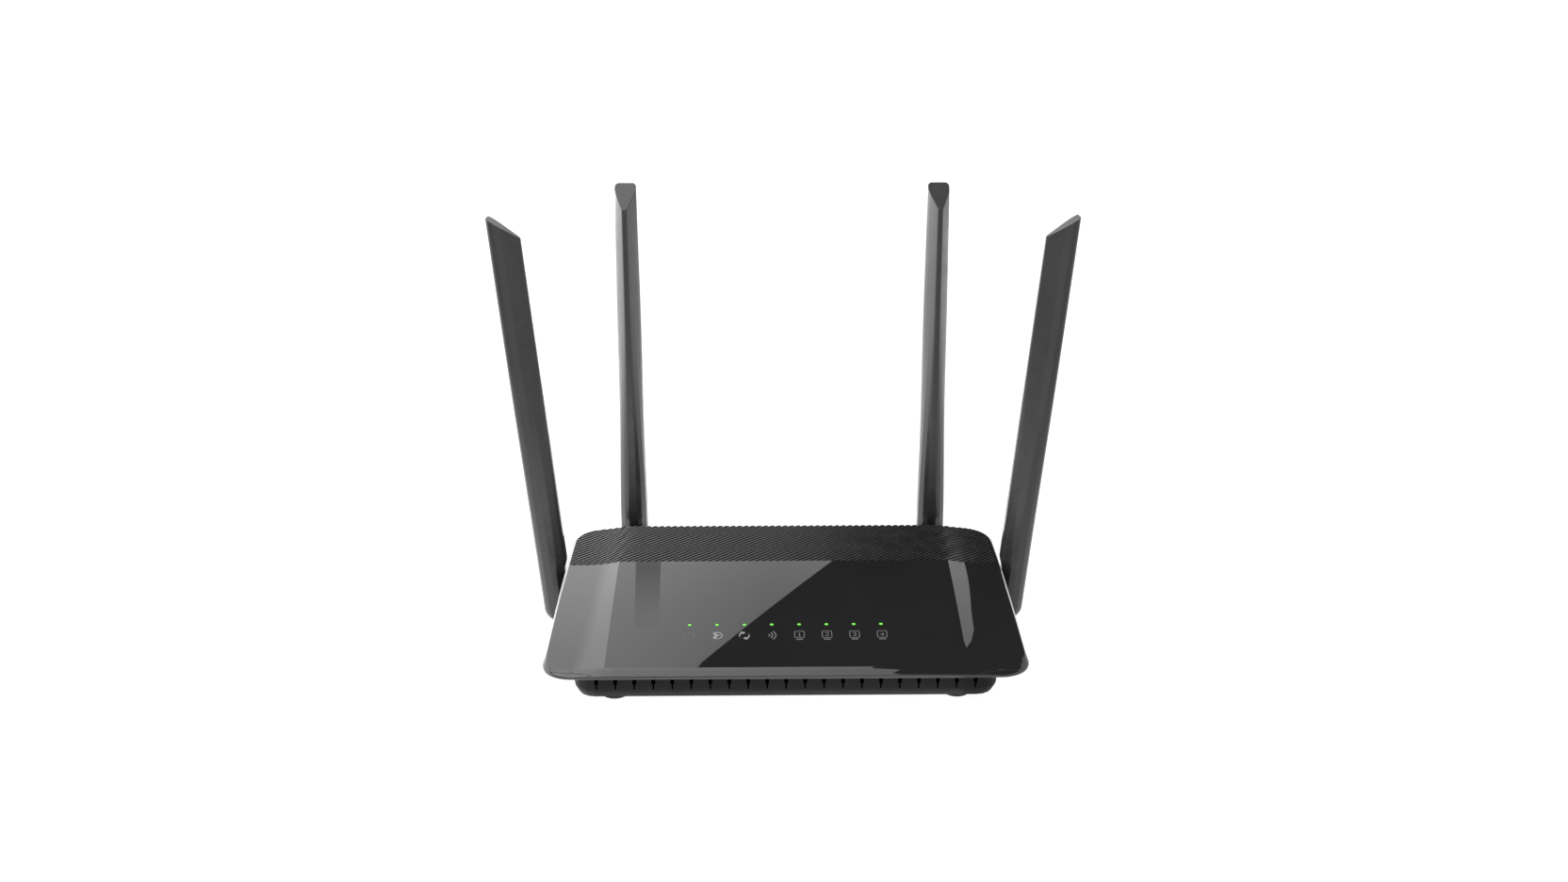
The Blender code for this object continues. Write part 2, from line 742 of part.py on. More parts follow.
STATIONS = (-1.0, -0.8, -0.4, 0.1, 0.55, 0.85, 1.0)
SHIELD = (0.2, 0.33, 0.56, 0.82, 1.0, 0.98, 0.76)  # narrow towards the case, broad outside
ROUND = (0.3, 0.62, 0.93, 1.0, 0.88, 0.6, 0.32)


def blade_section(half, z, thickness, top=False):
    """Points round the blade at one height; the top section follows the slanted cut."""
    shield = smooth((z - 15) / 110)
    back = BLADE_SETBACK * smooth((22 - z) / 5)
    points = []
    for station, broad, round_ in zip(STATIONS, SHIELD, ROUND):
        y = station * half
        if y < 0:
            y *= 1 - back / BLADE_HALF
        x = thickness * (broad * shield + round_ * (1 - shield))
        height = BLADE_LOW + (BLADE_HIGH - BLADE_LOW) * (station + 1) / 2 if top else z
        points.append((x, y, height))
    return points + [(-x, y, height) for x, y, height in reversed(points)]


def blade_thickness(z):
    share = min(max((z - 28) / (BLADE_HIGH - 28), 0), 1)
    return BLADE_ROOT + (BLADE_TIP - BLADE_ROOT) * share


def blade_shape():
    bm = bmesh.new()
    rings = []
    for k in range(1, 6):
        a = math.pi / 2 * k / 5
        z = -BLADE_ROOT * math.cos(a)
        rings.append(blade_section(BLADE_HALF * math.sin(a), z, BLADE_ROOT * (0.7 + 0.3 * math.sin(a))))
    for z in (9, 17, 22, 40, 70, 100, 125, 150):
        rings.append(blade_section(BLADE_HALF, z, blade_thickness(z)))
    rings.append(blade_section(BLADE_HALF, BLADE_HIGH, BLADE_TIP, top=True))
    previous = add_ring(bm, rings[0])
    bm.faces.new(previous)
    for points in rings[1:]:
        following = add_ring(bm, points)
        bridge(bm, previous, following)
        previous = following
    bm.faces.new(previous)
    return object_from("blade", bm, ANTENNA_BLACK, CUTTERS)


def blade_mesh():
    """The blade with its fork slot, the pocket for the radiating strip and the pin hole."""
    blade = blade_shape()
    slot = boxes("fork_slot", [((-TONGUE_HALF - GAP, -9, -9), (TONGUE_HALF + GAP, 9, FORK_ROOF))], None, CUTTERS)
    pocket = boxes("blade_pocket", [((-1.4, -3.4, 0), (1.4, 3.4, 152))], None, CUTTERS)
    hole = rods("blade_pin_hole", [((-9, 0, 0), (9, 0, 0), PIN_RADIUS + 0.1)], None, CUTTERS, 16)
    for helper in (slot, pocket, hole):
        cut(blade, helper)
    mesh = baked_mesh(blade)
    for helper in (slot, pocket, hole):
        bpy.data.objects.remove(helper, do_unlink=True)
    return mesh


def swivel_mesh(wall, thickness):
    """The turning base: a shaft through a wall this far away and thick, a collar outside it, and the tongue."""
    face = -wall + GAP
    inside = -wall - thickness
    neck = -BLADE_HALF - 0.55
    profile = [
        (0, neck), (5.2, neck), (5.6, neck - 0.4), (5.6, face + 1.8), (6.2, face + 1.6), (6.2, face),
        (SHAFT_RADIUS, face), (SHAFT_RADIUS, inside - 0.5), (2.5, inside - 0.5), (2.5, inside - 2.5),
        (SHAFT_RADIUS, inside - 2.5), (SHAFT_RADIUS - 0.4, inside - 4), (1.1, inside - 4),
        (1.1, -wall - 1), (0, -wall - 1),
    ]
    base = turned("swivel", profile, ANTENNA_BLACK, CUTTERS, 18)
    base.rotation_euler = (-math.pi / 2, 0, 0)
    tongue = rods("tongue", [((-TONGUE_HALF, 0, 0), (TONGUE_HALF, 0, 0), 5.3)], None, CUTTERS, 24)
    web = boxes("web", [((-TONGUE_HALF, neck - 1, -4.6), (TONGUE_HALF, 0, 4.6))], None, CUTTERS)
    hole = rods("tongue_hole", [((-9, 0, 0), (9, 0, 0), PIN_RADIUS + 0.1)], None, CUTTERS, 16)
    join(tongue, web)
    cut(tongue, hole)
    holder = placed("swivel_holder", tongue.data, collection=CUTTERS)
    for modifier in tongue.modifiers:
        combine(holder, modifier.object, modifier.operation)
    bpy.context.view_layer.update()
    join(holder, base)
    holder.data.materials.append(ANTENNA_BLACK)
    mesh = baked_mesh(holder)
    for helper in (base, tongue, web, hole):
        bpy.data.objects.remove(helper, do_unlink=True)
    return mesh


def retainer_mesh(wall, thickness):
    """A snap ring in the shaft's groove, behind the wall."""
    high = -wall - thickness - 0.8
    low = high - 1.4
    ring = turned(
        "retainer",
        [(2.8, high), (5.0, high), (5.0, low), (2.8, low), (2.8, high)],
        STEEL,
        CUTTERS,
        16,
    )
    return baked_mesh(ring)


def empty(name, parent=None):
    obj = bpy.data.objects.new(name, None)
    obj.empty_display_size = 0.01
    ROUTER.objects.link(obj)
    obj.parent = parent
    return obj


def coax(name, points):
    curve = bpy.data.curves.new(name, "CURVE")
    curve.dimensions = "3D"
    curve.bevel_depth = 0.6 * MM
    curve.bevel_resolution = 2
    curve.use_fill_caps = True
    spline = curve.splines.new("POLY")
    spline.points.add(len(points) - 1)
    for target, point in zip(spline.points, points):
        target.co = (*(Vector(point) * MM), 1)
    curve.materials.append(CABLE_GREY)
    ROUTER.objects.link(bpy.data.objects.new(name, curve))


def curved(points, steps=5):
    """A smooth path through the points, without its hand-made corners."""
    points = [Vector(p) for p in points]
    padded = [points[0]] + points + [points[-1]]
    path = []
    for k in range(1, len(padded) - 2):
        a, b, c, d = padded[k - 1:k + 3]
        for n in range(steps):
            t = n / steps
            path.append(0.5 * (2 * b + (c - a) * t + (2 * a - 5 * b + 4 * c - d) * t ** 2
                               + (3 * b - a - 3 * c + d) * t ** 3))
    return path + [points[-1]]


def make_antennas():
    blade = blade_mesh()
    pin = rods("hinge_pin", [((-5.4, 0, 0), (5.4, 0, 0), PIN_RADIUS)], STEEL, CUTTERS, 16)
    pin_data = baked_mesh(pin)
    strip = baked_mesh(boxes("strip", [((-0.5, -2.9, FORK_ROOF + 1), (0.5, 2.9, 140))], COPPER, CUTTERS))
    rear_wall, side_wall = (REAR_Y - BASE_REAR, PANEL_THICK), (SIDE_X - BASE_HALF, BASE_WALL)
    shapes = {wall: (swivel_mesh(*wall), retainer_mesh(*wall)) for wall in (rear_wall, side_wall)}
    places = [
        ("rear_left", (-REAR_X, REAR_Y, REAR_Z), 0, 0, rear_wall),
        ("rear_right", (REAR_X, REAR_Y, REAR_Z), 0, 0, rear_wall),
        ("side_left", (-SIDE_X, SIDE_Y, SIDE_Z), 90, SIDE_LEAN, side_wall),
        ("side_right", (SIDE_X, SIDE_Y, SIDE_Z), -90, SIDE_LEAN, side_wall),
    ]
    for name, pivot, turn, lean, wall in places:
        swivel = empty(name + "_swivel_axis")
        swivel.location = Vector(pivot) * MM
        swivel.rotation_euler = (0, 0, math.radians(turn))
        fold = empty(name + "_fold_axis", swivel)
        fold.rotation_euler = (-math.radians(lean), 0, 0)
        base_data, ring_data = shapes[wall]
        placed(name + "_swivel", base_data, swivel)
        ring = placed(name + "_retainer", ring_data, swivel)
        ring.rotation_euler = (-math.pi / 2, 0, 0)
        placed(name + "_hinge_pin", pin_data, swivel)
        placed(name + "_blade", blade, fold)
        placed(name + "_radiator", strip, fold)


def make_coax():
    top = BOARD_HIGH + 1.2
    for name, side in (("left", -1), ("right", 1)):
        end = side * 55.0
        coax(f"rear_{name}_coax", curved([
            (side * REAR_X, BASE_REAR - 9.0, REAR_Z), (side * (REAR_X - 1), BASE_REAR - 13, 13.8),
            (side * 62, BASE_REAR - 15.5, 11.4), (end, BASE_REAR - 16.5, top)]))
        coax(f"side_{name}_coax", curved([
            (side * (BASE_HALF - 7.0), SIDE_Y, SIDE_Z), (side * (BASE_HALF - 13), SIDE_Y - 1, SIDE_Z),
            (side * 68, SIDE_Y - 6, 9.6), (side * 62, SIDE_Y - 12, 9.2), (end, SIDE_Y - 15, top)]))


def stand_on_origin():
    for obj in bpy.data.objects:
        if obj.parent is None:
            obj.location.y += BODY_SHIFT * MM


make_cover()
make_light_guide()
make_base()
make_feet()
make_screws()
make_label()
make_rear_panel()
make_board()
make_jacks()
make_power_jack()
make_button("power", POWER_BUTTON, POWER_RADIUS, 2.6, 2.0, 3.4)
make_button("wps", WPS_BUTTON, WPS_RADIUS, 1.2, 0.7, 2.0)
make_reset()
make_board_parts()
make_antennas()
make_coax()
stand_on_origin()
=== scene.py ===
"""Wireless router, finished look: gloss cover, ribbed band, satin antennas and a soft studio round them.

Shapes are drawn in millimetres about the middle of the cover, as the CAD is, and moved onto the frame.
X runs to the right, Y to the rear and Z up.
"""

import math

import bmesh
import bpy
from mathutils import Matrix, Vector


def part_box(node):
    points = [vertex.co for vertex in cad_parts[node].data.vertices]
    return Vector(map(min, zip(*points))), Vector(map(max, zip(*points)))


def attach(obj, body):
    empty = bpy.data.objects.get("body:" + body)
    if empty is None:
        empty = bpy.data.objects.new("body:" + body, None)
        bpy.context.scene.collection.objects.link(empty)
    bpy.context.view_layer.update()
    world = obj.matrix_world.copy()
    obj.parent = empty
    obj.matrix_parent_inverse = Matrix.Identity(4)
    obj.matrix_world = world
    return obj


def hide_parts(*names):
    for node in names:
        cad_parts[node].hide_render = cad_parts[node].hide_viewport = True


MM = 0.001

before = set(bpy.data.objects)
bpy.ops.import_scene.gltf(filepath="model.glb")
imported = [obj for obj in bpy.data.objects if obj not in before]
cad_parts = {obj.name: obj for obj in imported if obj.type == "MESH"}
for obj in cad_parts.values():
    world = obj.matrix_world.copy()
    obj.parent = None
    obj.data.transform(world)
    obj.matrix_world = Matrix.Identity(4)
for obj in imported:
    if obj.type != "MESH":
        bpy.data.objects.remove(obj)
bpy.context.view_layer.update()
cover_low, cover_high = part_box("top_cover")
ROW_SHIFT = (cover_low.y + cover_high.y) / 2 / MM  # from the cover's middle to the row's origin

# Cover: the same sizes as the CAD's
COVER_HALF = 96.0
COVER_TAPER = 0.03
COVER_DEPTH = 118.0
COVER_RADIUS = 13.0
COVER_WALL = 2.0
LIP_DROP = 1.4
FRONT_EDGE_Z = 16.4
PANEL_FRONT = -54.5
PANEL_FRONT_Z = 18.2
PANEL_SLOPE = 0.2165
PANEL_BEND = 0.000686
STEP_START = 71.0
STEP_END = 86.0
STEP_FRONT = 1.0
STEP_REAR = 1.6

BAND_FRONT = 22.9
BAND_MARGIN = 1.6
BAND_DEPTH = 1.1
BAND_GAP = 0.12  # between the band and its recess
RIB_ANGLE = math.radians(38)  # from X towards the rear
RIB_PITCH = 1.8

LEDS = 8
LED_PITCH = 11.06
LED_Y = -26.85
LED_RADIUS = 0.78
ICON_Y = -34.5

# Antennas
BLADE_HALF = 6.25
BLADE_ROOT = 6.2
BLADE_TIP = 4.65
BLADE_HIGH = 172.0
BLADE_LOW = 162.2
BLADE_SETBACK = 1.2
FORK_ROOF = 7.6
FORK_HALF = 2.3
PIN_HOLE = 1.3
SIDE_LEAN = 5.34


# Meshes


def new_object(name, bm, material, sharp=30):
    """A mesh object from a bmesh in millimetres about the cover's middle."""
    bmesh.ops.scale(bm, vec=(MM, MM, MM), verts=bm.verts)
    bmesh.ops.recalc_face_normals(bm, faces=bm.faces)
    mesh = bpy.data.meshes.new(name)
    bm.to_mesh(mesh)
    bm.free()
    if material:
        mesh.materials.append(material)
    mesh.shade_smooth()
    mesh.set_sharp_from_angle(angle=math.radians(sharp))
    obj = bpy.data.objects.new(name, mesh)
    bpy.context.scene.collection.objects.link(obj)
    return obj


def shift_to_row(obj):
    obj.data.transform(Matrix.Translation((0, ROW_SHIFT * MM, 0)))
    return obj


def add_box(bm, low, high):
    low, high = Vector(low), Vector(high)
    matrix = Matrix.Translation((low + high) / 2) @ Matrix.Diagonal((*(high - low), 1))
    bmesh.ops.create_cube(bm, size=1, matrix=matrix)


def add_rod(bm, start, end, radius, sides=32):
    start, end = Vector(start), Vector(end)
    along = end - start
    turn = Vector((0, 0, 1)).rotation_difference(along).to_matrix().to_4x4()
    bmesh.ops.create_cone(
        bm, cap_ends=True, segments=sides, radius1=radius, radius2=radius, depth=along.length,
        matrix=Matrix.Translation((start + end) / 2) @ turn,
    )


def apply_cut(obj, *cutters):
    """Cuts obj with each helper and removes the helpers."""
    for cutter in cutters:
        modifier = obj.modifiers.new(cutter.name, "BOOLEAN")
        modifier.object = cutter
        modifier.operation = "DIFFERENCE"
        modifier.solver = "EXACT"
    graph = bpy.context.evaluated_depsgraph_get()
    mesh = bpy.data.meshes.new_from_object(obj.evaluated_get(graph))
    obj.modifiers.clear()
    old, obj.data = obj.data, mesh
    bpy.data.meshes.remove(old)
    for cutter in cutters:
        bpy.data.objects.remove(cutter, do_unlink=True)


def ring_bridge(bm, first, second):
    for k in range(len(first)):
        after = (k + 1) % len(first)
        bm.faces.new((first[k], first[after], second[after], second[k]))


def lathe(bm, profile, sides=40, centre=(0, 0)):
    """Turns (radius, z) points, from the top down, about a vertical line; ends on the line close it."""
    rings = []
    for r, z in profile:
        if r == 0:
            rings.append([bm.verts.new((*centre, z))])
        else:
            rings.append([
                bm.verts.new((centre[0] + r * math.cos(2 * math.pi * k / sides),
                              centre[1] + r * math.sin(2 * math.pi * k / sides), z))
                for k in range(sides)
            ])
    for one, two in zip(rings, rings[1:]):
        for k in range(sides):
            after = (k + 1) % sides
            corners = [one[k % len(one)], one[after % len(one)], two[after % len(two)], two[k % len(two)]]
            bm.faces.new(list(dict.fromkeys(corners)))


# The cover's surface


def smooth(t):
    t = min(max(t, 0.0), 1.0)
    return t * t * (3 - 2 * t)


def ridge_z(y):
    t = y - PANEL_FRONT
    return PANEL_FRONT_Z + PANEL_SLOPE * t - PANEL_BEND * t * t


def deck_z(x, y):
    """The deck steps down towards the sides: steep from a soft crease, then easing out to the flange."""
    step = STEP_FRONT + (STEP_REAR - STEP_FRONT) * smooth((y + 50) / 70)
    reach = min(max((abs(x) - STEP_START) / (STEP_END - STEP_START), 0), 1)
    return ridge_z(y) - step * (1 - (1 - reach) ** 2)


def deck_normal(x, y):
    e = 0.02
    across = (deck_z(x + e, y) - deck_z(x - e, y)) / (2 * e)
    along = (deck_z(x, y + e) - deck_z(x, y - e)) / (2 * e)
    return Vector((-across, -along, 1)).normalized()


def edge_z(y):
    reach = min(max((y + 46) / 66, 0), 1)
    rising = ridge_z(max(y, -46)) - 4.4 + 1.6 * reach
    return FRONT_EDGE_Z + max(rising - FRONT_EDGE_Z, 0)


def cover_half(y):
    return COVER_HALF - COVER_TAPER * (y + COVER_DEPTH / 2 - COVER_RADIUS)


def plan_rows(half_at, front, rear, front_radius, rear_radius, middle, arc=14):
    """Rows of (y, half width) of a plan with rounded corners."""
    rows = []
    for k in range(arc + 1 if front_radius else 1):
        a = math.pi / 2 * (k / arc if front_radius else 1)
        y = front + front_radius * (1 - math.cos(a))
        rows.append((y, half_at(y) - front_radius * (1 - math.sin(a))))
    start, end = front + front_radius, rear - rear_radius
    for k in range(1, middle):
        y = start + (end - start) * k / middle
        rows.append((y, half_at(y)))
    for k in range(arc, -1, -1):
        a = math.pi / 2 * k / arc
        y = rear - rear_radius * (1 - math.cos(a))
        rows.append((y, half_at(y) - rear_radius * (1 - math.sin(a))))
    return rows


def cover_rows(side, front, rear):
    return plan_rows(
        lambda y: cover_half(y) - side, -COVER_DEPTH / 2 + front, COVER_DEPTH / 2 - rear,
        COVER_RADIUS - side, COVER_RADIUS - side, 36,
    )


MIDDLE_COLUMNS = 14
STEP_COLUMNS = 40


def columns(half):
    """Places across a row this wide, with one exactly on each crease of the step."""
    right = [STEP_START * k / MIDDLE_COLUMNS for k in range(1, MIDDLE_COLUMNS + 1)]
    right += [STEP_START + (half - STEP_START) * k / STEP_COLUMNS for k in range(1, STEP_COLUMNS + 1)]
    return [-x for x in reversed(right)] + [0] + right


def grid_points(rows, height):
    return [[(x, y, height(x, y)) for x in columns(half)] for y, half in rows]


def border(grid):
    right = [row[-1] for row in grid[1:-1]]
    left = [row[0] for row in grid[1:-1]]
    return list(grid[0]) + right + list(reversed(grid[-1])) + list(reversed(left))


def add_grid(bm, grid):
    verts = [[bm.verts.new(p) for p in row] for row in grid]
    for near, far in zip(verts, verts[1:]):
        for k in range(len(near) - 1):
            bm.faces.new((near[k], near[k + 1], far[k + 1], far[k]))
    return border(verts)


def rounded_profile(points, rounds=2, cut=0.16):
    """Corner cutting on a list of tuples, with the ends kept."""
    for _ in range(rounds):
        new = [points[0]]
        for a, b in zip(points, points[1:]):
            new.append(tuple(p + (q - p) * cut for p, q in zip(a, b)))
            new.append(tuple(q + (p - q) * cut for p, q in zip(a, b)))
        points = new + [points[-1]]
    return points


# Each ring of the rolled edge: how far in at the sides, front and rear, its share of the height up to
# the deck, and how far it drops below the edge
EDGE_PROFILE = [
    (1.35, 4.5, 2.3, 1.0, 0.0),
    (1.1, 2.9, 1.5, 0.86, 0.0),
    (0.6, 1.4, 0.9, 0.5, 0.0),
    (0.0, 0.0, 0.0, 0.0, 0.0),
    (0.1, 0.1, 0.1, 0.0, LIP_DROP),
    (COVER_WALL, COVER_WALL, COVER_WALL, 0.0, LIP_DROP),
    (COVER_WALL + 0.2, COVER_WALL + 0.6, COVER_WALL + 0.2, 0.0, 0.6),
]


def band_rows(margin, front):
    return plan_rows(
        lambda y: cover_half(y) - margin, front, COVER_DEPTH / 2 - margin, 0, COVER_RADIUS - margin, 24
    )


def band_slab(margin, front, above, below):
    """A helper solid that follows the band's outline."""
    bm = bmesh.new()
    rows = band_rows(margin, front)
    upper = add_grid(bm, grid_points(rows, lambda x, y: deck_z(x, y) + above))
    lower = add_grid(bm, grid_points(rows, lambda x, y: deck_z(x, y) - below))
    ring_bridge(bm, upper, lower)
    return new_object("band_recess", bm, None)


def led_x(number):
    return (number - (LEDS - 1) / 2) * LED_PITCH


def make_cover(material):
    bm = bmesh.new()
    rings = rounded_profile(EDGE_PROFILE)
    first = rings[0]
    ring = add_grid(bm, grid_points(cover_rows(*first[:3]), deck_z))
    for side, front, rear, share, drop in rings[1:]:
        height = lambda x, y, share=share, drop=drop: edge_z(y) + share * (deck_z(x, y) - edge_z(y)) - drop
        points = border(grid_points(cover_rows(side, front, rear), height))
        following = [bm.verts.new(p) for p in points]
        ring_bridge(bm, ring, following)
        ring = following
    inner = add_grid(bm, grid_points(cover_rows(3.4, 6.0, 3.6), lambda x, y: deck_z(x, y) - COVER_WALL))
    ring_bridge(bm, ring, inner)
    cover = new_object("gloss_cover", bm, material, 40)
    holes = bmesh.new()
    for n in range(LEDS):
        add_rod(holes, (led_x(n), LED_Y, 15), (led_x(n), LED_Y, 30), LED_RADIUS + 0.1)
    recess = band_slab(BAND_MARGIN - BAND_GAP, BAND_FRONT - BAND_GAP, 3, 1.3)
    apply_cut(cover, recess, new_object("led_holes", holes, None))
    mesh = cover.data
    mesh.set_sharp_from_angle(angle=math.radians(40))
    set_deck_normals(mesh)
    shift_to_row(cover)
    return cover


def set_deck_normals(mesh):
    """The deck's own normals on its faces, so that its reflections stay smooth where pieces are cut out."""
    normals = [(0.0, 0.0, 0.0)] * len(mesh.loops)
    for polygon in mesh.polygons:
        centre = polygon.center / MM
        if polygon.normal.z < 0.5 or abs(centre.z - deck_z(centre.x, centre.y)) > 0.02:
            continue
        for loop in polygon.loop_indices:
            corner = mesh.vertices[mesh.loops[loop].vertex_index].co / MM
            x, y, _ = corner.lerp(centre, 0.05)
            normals[loop] = tuple(deck_normal(x, y))
    mesh.normals_split_custom_set(normals)


# Ribbed band

RIB_PROFILE = [(0.0, -0.8), (0.34, -0.8), (0.44, -0.08), (0.5, 0.0), (0.88, 0.0), (0.95, -0.08)]


def make_band(material):
    cos, sin = math.cos(RIB_ANGLE), math.sin(RIB_ANGLE)
    rear = COVER_DEPTH / 2 - BAND_MARGIN
    wide = COVER_HALF
    lines = []
    first = math.floor((-sin * wide + cos * BAND_FRONT) / RIB_PITCH) - 1
    last = math.ceil((sin * wide + cos * rear) / RIB_PITCH) + 1
    for number in range(first, last):
        for share, height in RIB_PROFILE:
            lines.append(((number + share) * RIB_PITCH, height))
    rows = [BAND_FRONT + (rear - BAND_FRONT) * k / 12 for k in range(13)]
    bm = bmesh.new()
    grid = []
    for v, height in lines:
        grid.append([bm.verts.new(((y * cos - v) / sin, y, height)) for y in rows])
    for one, two in zip(grid, grid[1:]):
        for k in range(len(rows) - 1):
            bm.faces.new((one[k], one[k + 1], two[k + 1], two[k]))
    outline = [(half, y) for y, half in band_rows(BAND_MARGIN, BAND_FRONT)]
    outline += [(-x, y) for x, y in reversed(outline)]
    for (x0, y0), (x1, y1) in zip(outline, outline[1:]):
        side = Vector((x1 - x0, y1 - y0, 0))
        if side.length < 1e-6:
            continue
        bmesh.ops.bisect_plane(
            bm, geom=bm.verts[:] + bm.edges[:] + bm.faces[:], dist=1e-5, plane_co=(x0, y0, 0),
            plane_no=(side.y, -side.x, 0), clear_outer=True,
        )
    made = bmesh.ops.extrude_face_region(bm, geom=bm.faces[:], use_keep_orig=True)
    bottom = {g for g in made["geom"] if isinstance(g, bmesh.types.BMVert)}
    for vert in bm.verts:
        x, y, z = vert.co
        vert.co.z = deck_z(x, y) + (-BAND_DEPTH if vert in bottom else z)
    return shift_to_row(new_object("ribbed_band", bm, material, 25))


# Lenses, icons and other print


def make_lenses(material):
    bm = bmesh.new()
    add_box(bm, (-42, LED_Y - 1.2, 13), (42, LED_Y + 1.2, 15))
    for n in range(LEDS):
        top = deck_z(led_x(n), LED_Y)
        crown = [(0, 0.12), (0.25, 0.11), (0.5, 0.05), (0.7, -0.06), (LED_RADIUS, -0.25)]
        profile = [(radius, top + rise) for radius, rise in crown] + [(LED_RADIUS, 14.0), (0, 14.0)]
        lathe(bm, profile, 24, (led_x(n), LED_Y))
    return shift_to_row(new_object("light_lenses", bm, material, 50))


def on_deck(u, v, lift):
    """A point of the print: u across and v up the panel from the icon row's middle."""
    y = ICON_Y + v
    return (u, y, deck_z(u, y) + lift)


class Print:
    """Thin raised print drawn with strokes and filled outlines on a surface."""

    def __init__(self, place, thickness=0.05):
        self.bm = bmesh.new()
        self.place = place
        self.thickness = thickness
        self.ink = 0

    def fill(self, points):
        top = [self.bm.verts.new(self.place(u, v, self.thickness)) for u, v in points]
        low = [self.bm.verts.new(self.place(u, v, -0.02)) for u, v in points]
        known = len(self.bm.faces)
        self.bm.faces.new(top)
        self.bm.faces.new(list(reversed(low)))
        ring_bridge(self.bm, low, top)
        self.bm.faces.ensure_lookup_table()
        for k in range(known, len(self.bm.faces)):
            self.bm.faces[k].material_index = self.ink

    def stroke(self, points, width=0.34, closed=False):
        """A line of even width through the points."""
        points = [Vector(p) for p in points]
        count = len(points)
        left, right = [], []
        for k, point in enumerate(points):
            before = points[(k - 1) % count] if closed or k else point
            after = points[(k + 1) % count] if closed or k < count - 1 else point
            along = (after - before).normalized()
            side = Vector((-along.y, along.x)) * width / 2
            left.append(point + side)
            right.append(point - side)
        pairs = list(range(count)) + ([0] if closed else [])
        for a, b in zip(pairs, pairs[1:]):
            self.fill([left[a], right[a], right[b], left[b]])

    def arc(self, centre, radius, start, end, width=0.34, steps=16):
        full = end - start >= 360
        angles = [math.radians(start + (end - start) * k / steps) for k in range(steps + (0 if full else 1))]
        u, v = centre
        self.stroke([(u + radius * math.cos(a), v + radius * math.sin(a)) for a in angles], width, full)

    def finish(self, name, *inks):
        piece = new_object(name, self.bm, inks[0])
        for ink in inks[1:]:
            piece.data.materials.append(ink)
        return shift_to_row(piece)


NUMERALS = {
    1: [[(-0.5, 0.7), (0, 1.1), (0, -1.1)], [(-0.5, -1.1), (0.5, -1.1)]],
    2: [[(-0.6, 0.7), (-0.3, 1.1), (0.3, 1.1), (0.6, 0.7), (0.5, 0.2), (-0.6, -1.1), (0.7, -1.1)]],
    3: [[(-0.6, 0.9), (0.0, 1.15), (0.5, 0.8), (0.4, 0.3), (-0.1, 0.1), (0.5, -0.2), (0.6, -0.7),
         (0.0, -1.15), (-0.6, -0.9)]],
    4: [[(0.3, -1.1), (0.3, 1.1), (-0.7, -0.4), (0.75, -0.4)]],
}


def numeral(print_, number, u, v, size=1.0, width=0.3):
    for line in NUMERALS[number]:
        print_.stroke([(u + a * size, v + b * size) for a, b in line], width)


def draw_power(icons, u):
    icons.arc((u, 0), 2.2, 118, 422, 0.2, 24)
    icons.stroke([(u, 2.7), (u, 0.0)], 0.2)


def draw_globe(icons, u):
    """A globe with light land, its rim drawn on the right."""
    icons.arc((u, 0), 2.15, -75, 75, 0.5, 14)
    north = [(-1.7, 1.5), (-1.1, 2.1), (0.0, 2.4), (0.7, 2.25), (0.2, 1.7), (-0.3, 1.6), (-0.2, 0.9),
             (-1.0, 0.6)]
    middle = [(-1.0, 0.6), (-0.2, 0.9), (0.6, 0.5), (1.2, 0.8), (0.9, -0.1), (0.1, -0.5), (-0.6, -0.4),
              (-1.1, -0.1)]
    south = [(-1.7, -1.4), (-0.6, -0.4), (0.1, -0.5), (-0.1, -1.3), (0.6, -2.2), (0.0, -2.4), (-1.0, -2.15)]
    for shape in (north, middle, south):
        icons.fill([(u + a, b) for a, b in shape])


def draw_sync(icons, u):
    """Two arrows that chase each other round, wide at the head and thin at the tail."""
    for turn in (0, 180):
        outer, inner = [], []
        for k in range(9):
            a = math.radians(turn + 100 + 110 * k / 8)
            width = 0.9 * (1 - k / 8) + 0.12
            outer.append((u + (1.95 + width / 2) * math.cos(a), (2.15 + width / 2) * math.sin(a)))
            inner.append((u + (1.95 - width / 2) * math.cos(a), (2.15 - width / 2) * math.sin(a)))
        for one, two, three, four in zip(outer, outer[1:], inner[1:], inner):
            icons.fill([one, two, three, four])
        head = [(1.95 + r, math.radians(turn + a)) for r, a in ((0.95, 118), (-0.95, 118), (-0.1, 75))]
        icons.fill([(u + r * math.cos(a), r * 1.1 * math.sin(a)) for r, a in head])


def draw_waves(icons, u):
    for radius in (0.9, 2.2, 3.5):
        icons.arc((u - 1.9, 0), radius, -50, 50, 0.45)


def draw_port(icons, u, number):
    """A monitor on its foot, with the port's numeral."""
    outline = []
    for corner, (a, b) in enumerate(((1.3, 2.1), (-1.3, 2.1), (-1.3, -1.1), (1.3, -1.1))):
        for k in range(5):
            angle = math.radians(90 * corner + 22.5 * k)
            outline.append((u + a + 0.6 * math.cos(angle), b + 0.6 * math.sin(angle)))
    icons.stroke(outline, 0.3, closed=True)
    icons.stroke([(u - 1.35, -2.75), (u + 1.35, -2.75)], 0.55)
    numeral(icons, number, u, 0.5, 1.05)


def make_icons(grey, pale):
    icons = Print(on_deck)
    for number, draw in enumerate((draw_power, draw_globe, draw_sync, draw_waves)):
        icons.ink = 1 if draw in (draw_globe, draw_sync) else 0
        draw(icons, led_x(number))
    icons.ink = 0
    for number in range(1, 5):
        draw_port(icons, led_x(3 + number), number)
    return icons.finish("panel_icons", grey, pale)


# Antenna blades: hinge pin along X through the origin, blade up Z, +Y away from the case

